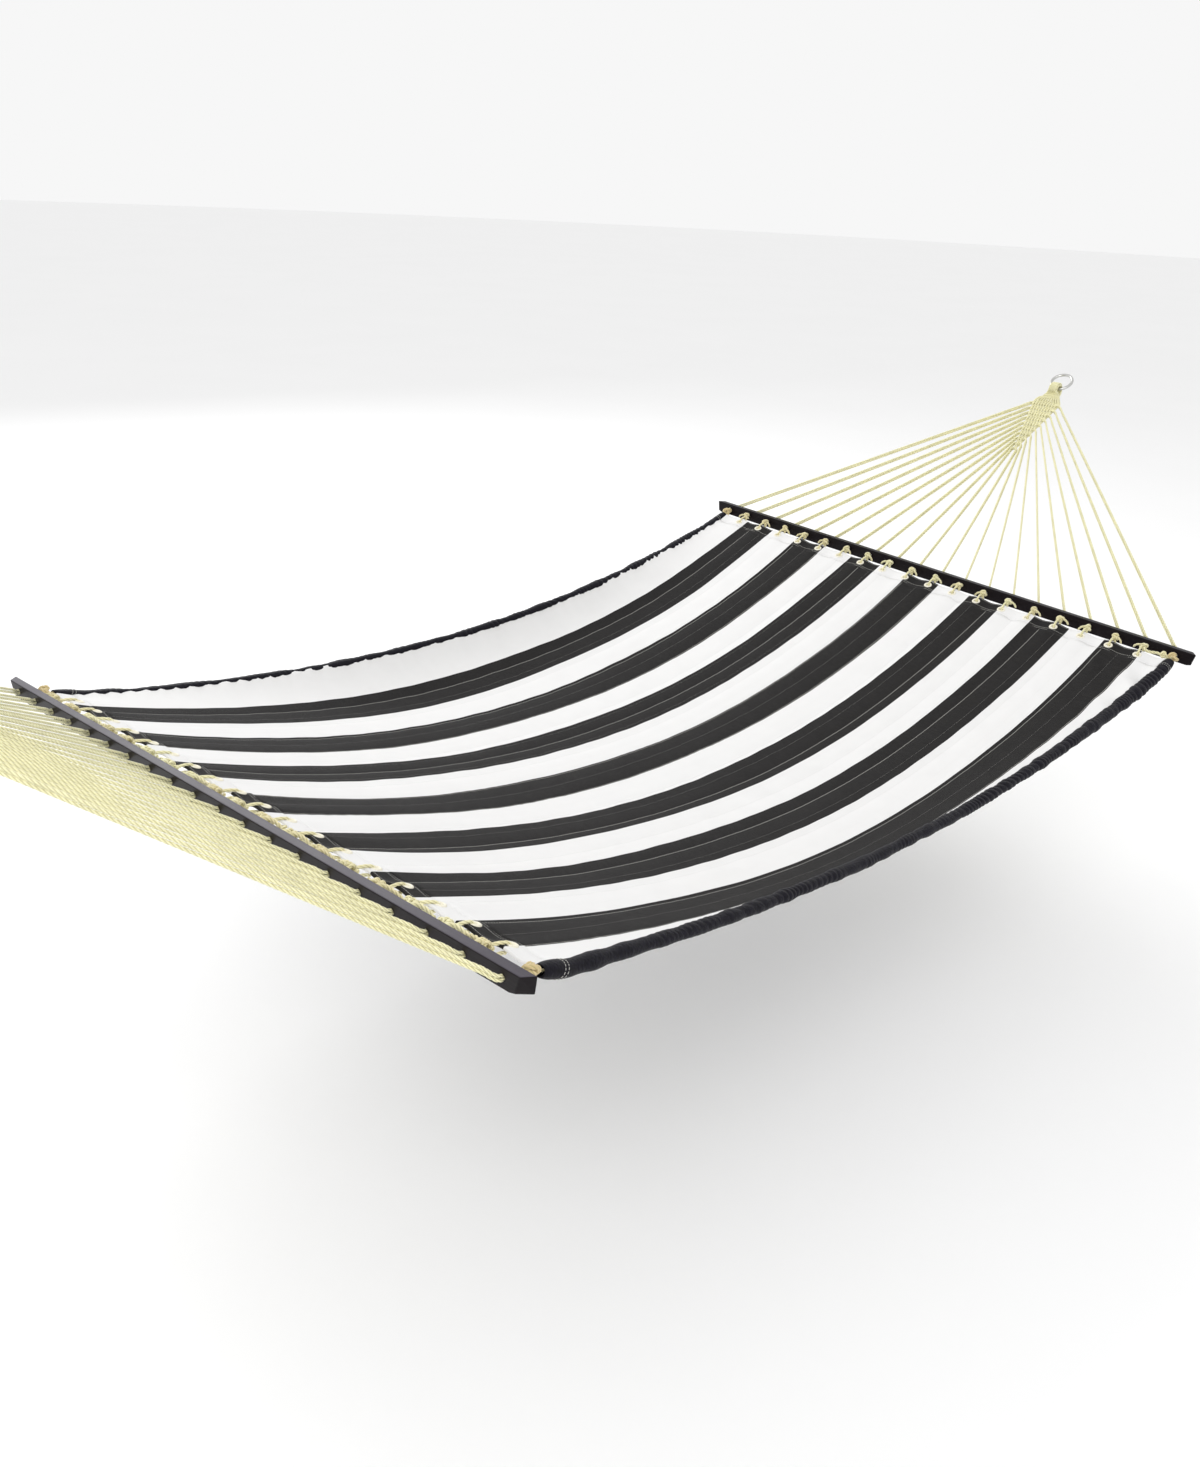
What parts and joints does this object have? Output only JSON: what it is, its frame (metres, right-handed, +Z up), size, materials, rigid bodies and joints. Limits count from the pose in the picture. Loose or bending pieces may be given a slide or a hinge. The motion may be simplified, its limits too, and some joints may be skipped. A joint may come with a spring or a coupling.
{
  "type": "rope hammock",
  "caption": "Two-person hammock: striped double-layer cloth bed between two wooden spreader bars, with fanned doubled ropes gathered in a woven clew at each end.",
  "frame": {"origin": "the point where the head ring bears on its hook", "axes": "+X from the foot end to the head end, +Y across the bed, +Z up"},
  "size_m": [3.3023, 1.3976, 0.662],
  "materials": {
    "stained_wood": "near-black stained hardwood, satin",
    "cotton_rope": "cream three-strand rope",
    "striped_cloth": "off-white and near-black lengthwise stripes, woven polyester",
    "backing_cloth": "off-white and near-black lengthwise stripes, woven polyester",
    "sleeve_cloth": "near-black gathered cloth",
    "zinc_steel": "zinc-plated steel"
  },
  "bodies": {
    "head_ring": {"hanging_ring_head": "zinc_steel"},
    "hammock": {"bed_cloth_lower": "backing_cloth", "bed_cloth_upper": "striped_cloth", "clew_rope_foot_01": "cotton_rope", "clew_rope_foot_02": "cotton_rope", "clew_rope_foot_03": "cotton_rope", "clew_rope_foot_04": "cotton_rope", "clew_rope_foot_05": "cotton_rope", "clew_rope_foot_06": "cotton_rope", "clew_rope_foot_07": "cotton_rope", "clew_rope_foot_08": "cotton_rope", "clew_rope_foot_09": "cotton_rope", "clew_rope_foot_10": "cotton_rope", "clew_rope_foot_11": "cotton_rope", "clew_rope_foot_12": "cotton_rope", "clew_rope_foot_13": "cotton_rope", "clew_rope_foot_14": "cotton_rope", "clew_rope_foot_15": "cotton_rope", "clew_rope_foot_16": "cotton_rope", "clew_rope_foot_17": "cotton_rope", "clew_rope_foot_18": "cotton_rope", "clew_rope_foot_19": "cotton_rope", "clew_rope_foot_20": "cotton_rope", "clew_rope_head_01": "cotton_rope", "clew_rope_head_02": "cotton_rope", "clew_rope_head_03": "cotton_rope", "clew_rope_head_04": "cotton_rope", "clew_rope_head_05": "cotton_rope", "clew_rope_head_06": "cotton_rope", "clew_rope_head_07": "cotton_rope", "clew_rope_head_08": "cotton_rope", "clew_rope_head_09": "cotton_rope", "clew_rope_head_10": "cotton_rope", "clew_rope_head_11": "cotton_rope", "clew_rope_head_12": "cotton_rope", "clew_rope_head_13": "cotton_rope", "clew_rope_head_14": "cotton_rope", "clew_rope_head_15": "cotton_rope", "clew_rope_head_16": "cotton_rope", "clew_rope_head_17": "cotton_rope", "clew_rope_head_18": "cotton_rope", "clew_rope_head_19": "cotton_rope", "clew_rope_head_20": "cotton_rope", "clew_weave_foot": "cotton_rope", "clew_weave_head": "cotton_rope", "edge_rope_far": "cotton_rope", "edge_rope_near": "cotton_rope", "edge_sleeve_far": "sleeve_cloth", "edge_sleeve_near": "sleeve_cloth", "hem_band_foot": "striped_cloth", "hem_band_head": "striped_cloth", "spreader_bar_foot": "stained_wood", "spreader_bar_head": "stained_wood"},
    "foot_ring": {"hanging_ring_foot": "zinc_steel"}
  },
  "joints": [
    {"name": "swing", "type": "hinge", "parent": "head_ring", "child": "hammock", "pos_m": [-0.04172, 0, -0.03104], "axis": [1, 0, 0], "range_deg": [-25, 25]},
    {"name": "foot_ring_turn", "type": "hinge", "parent": "hammock", "child": "foot_ring", "pos_m": [-3.24472, 0, -0.03104], "axis": [1, 0, 0], "range_deg": [-25, 25]}
  ],
  "couplings": [
    {"joint": "foot_ring_turn", "follows": "swing", "ratio": -1}
  ]
}
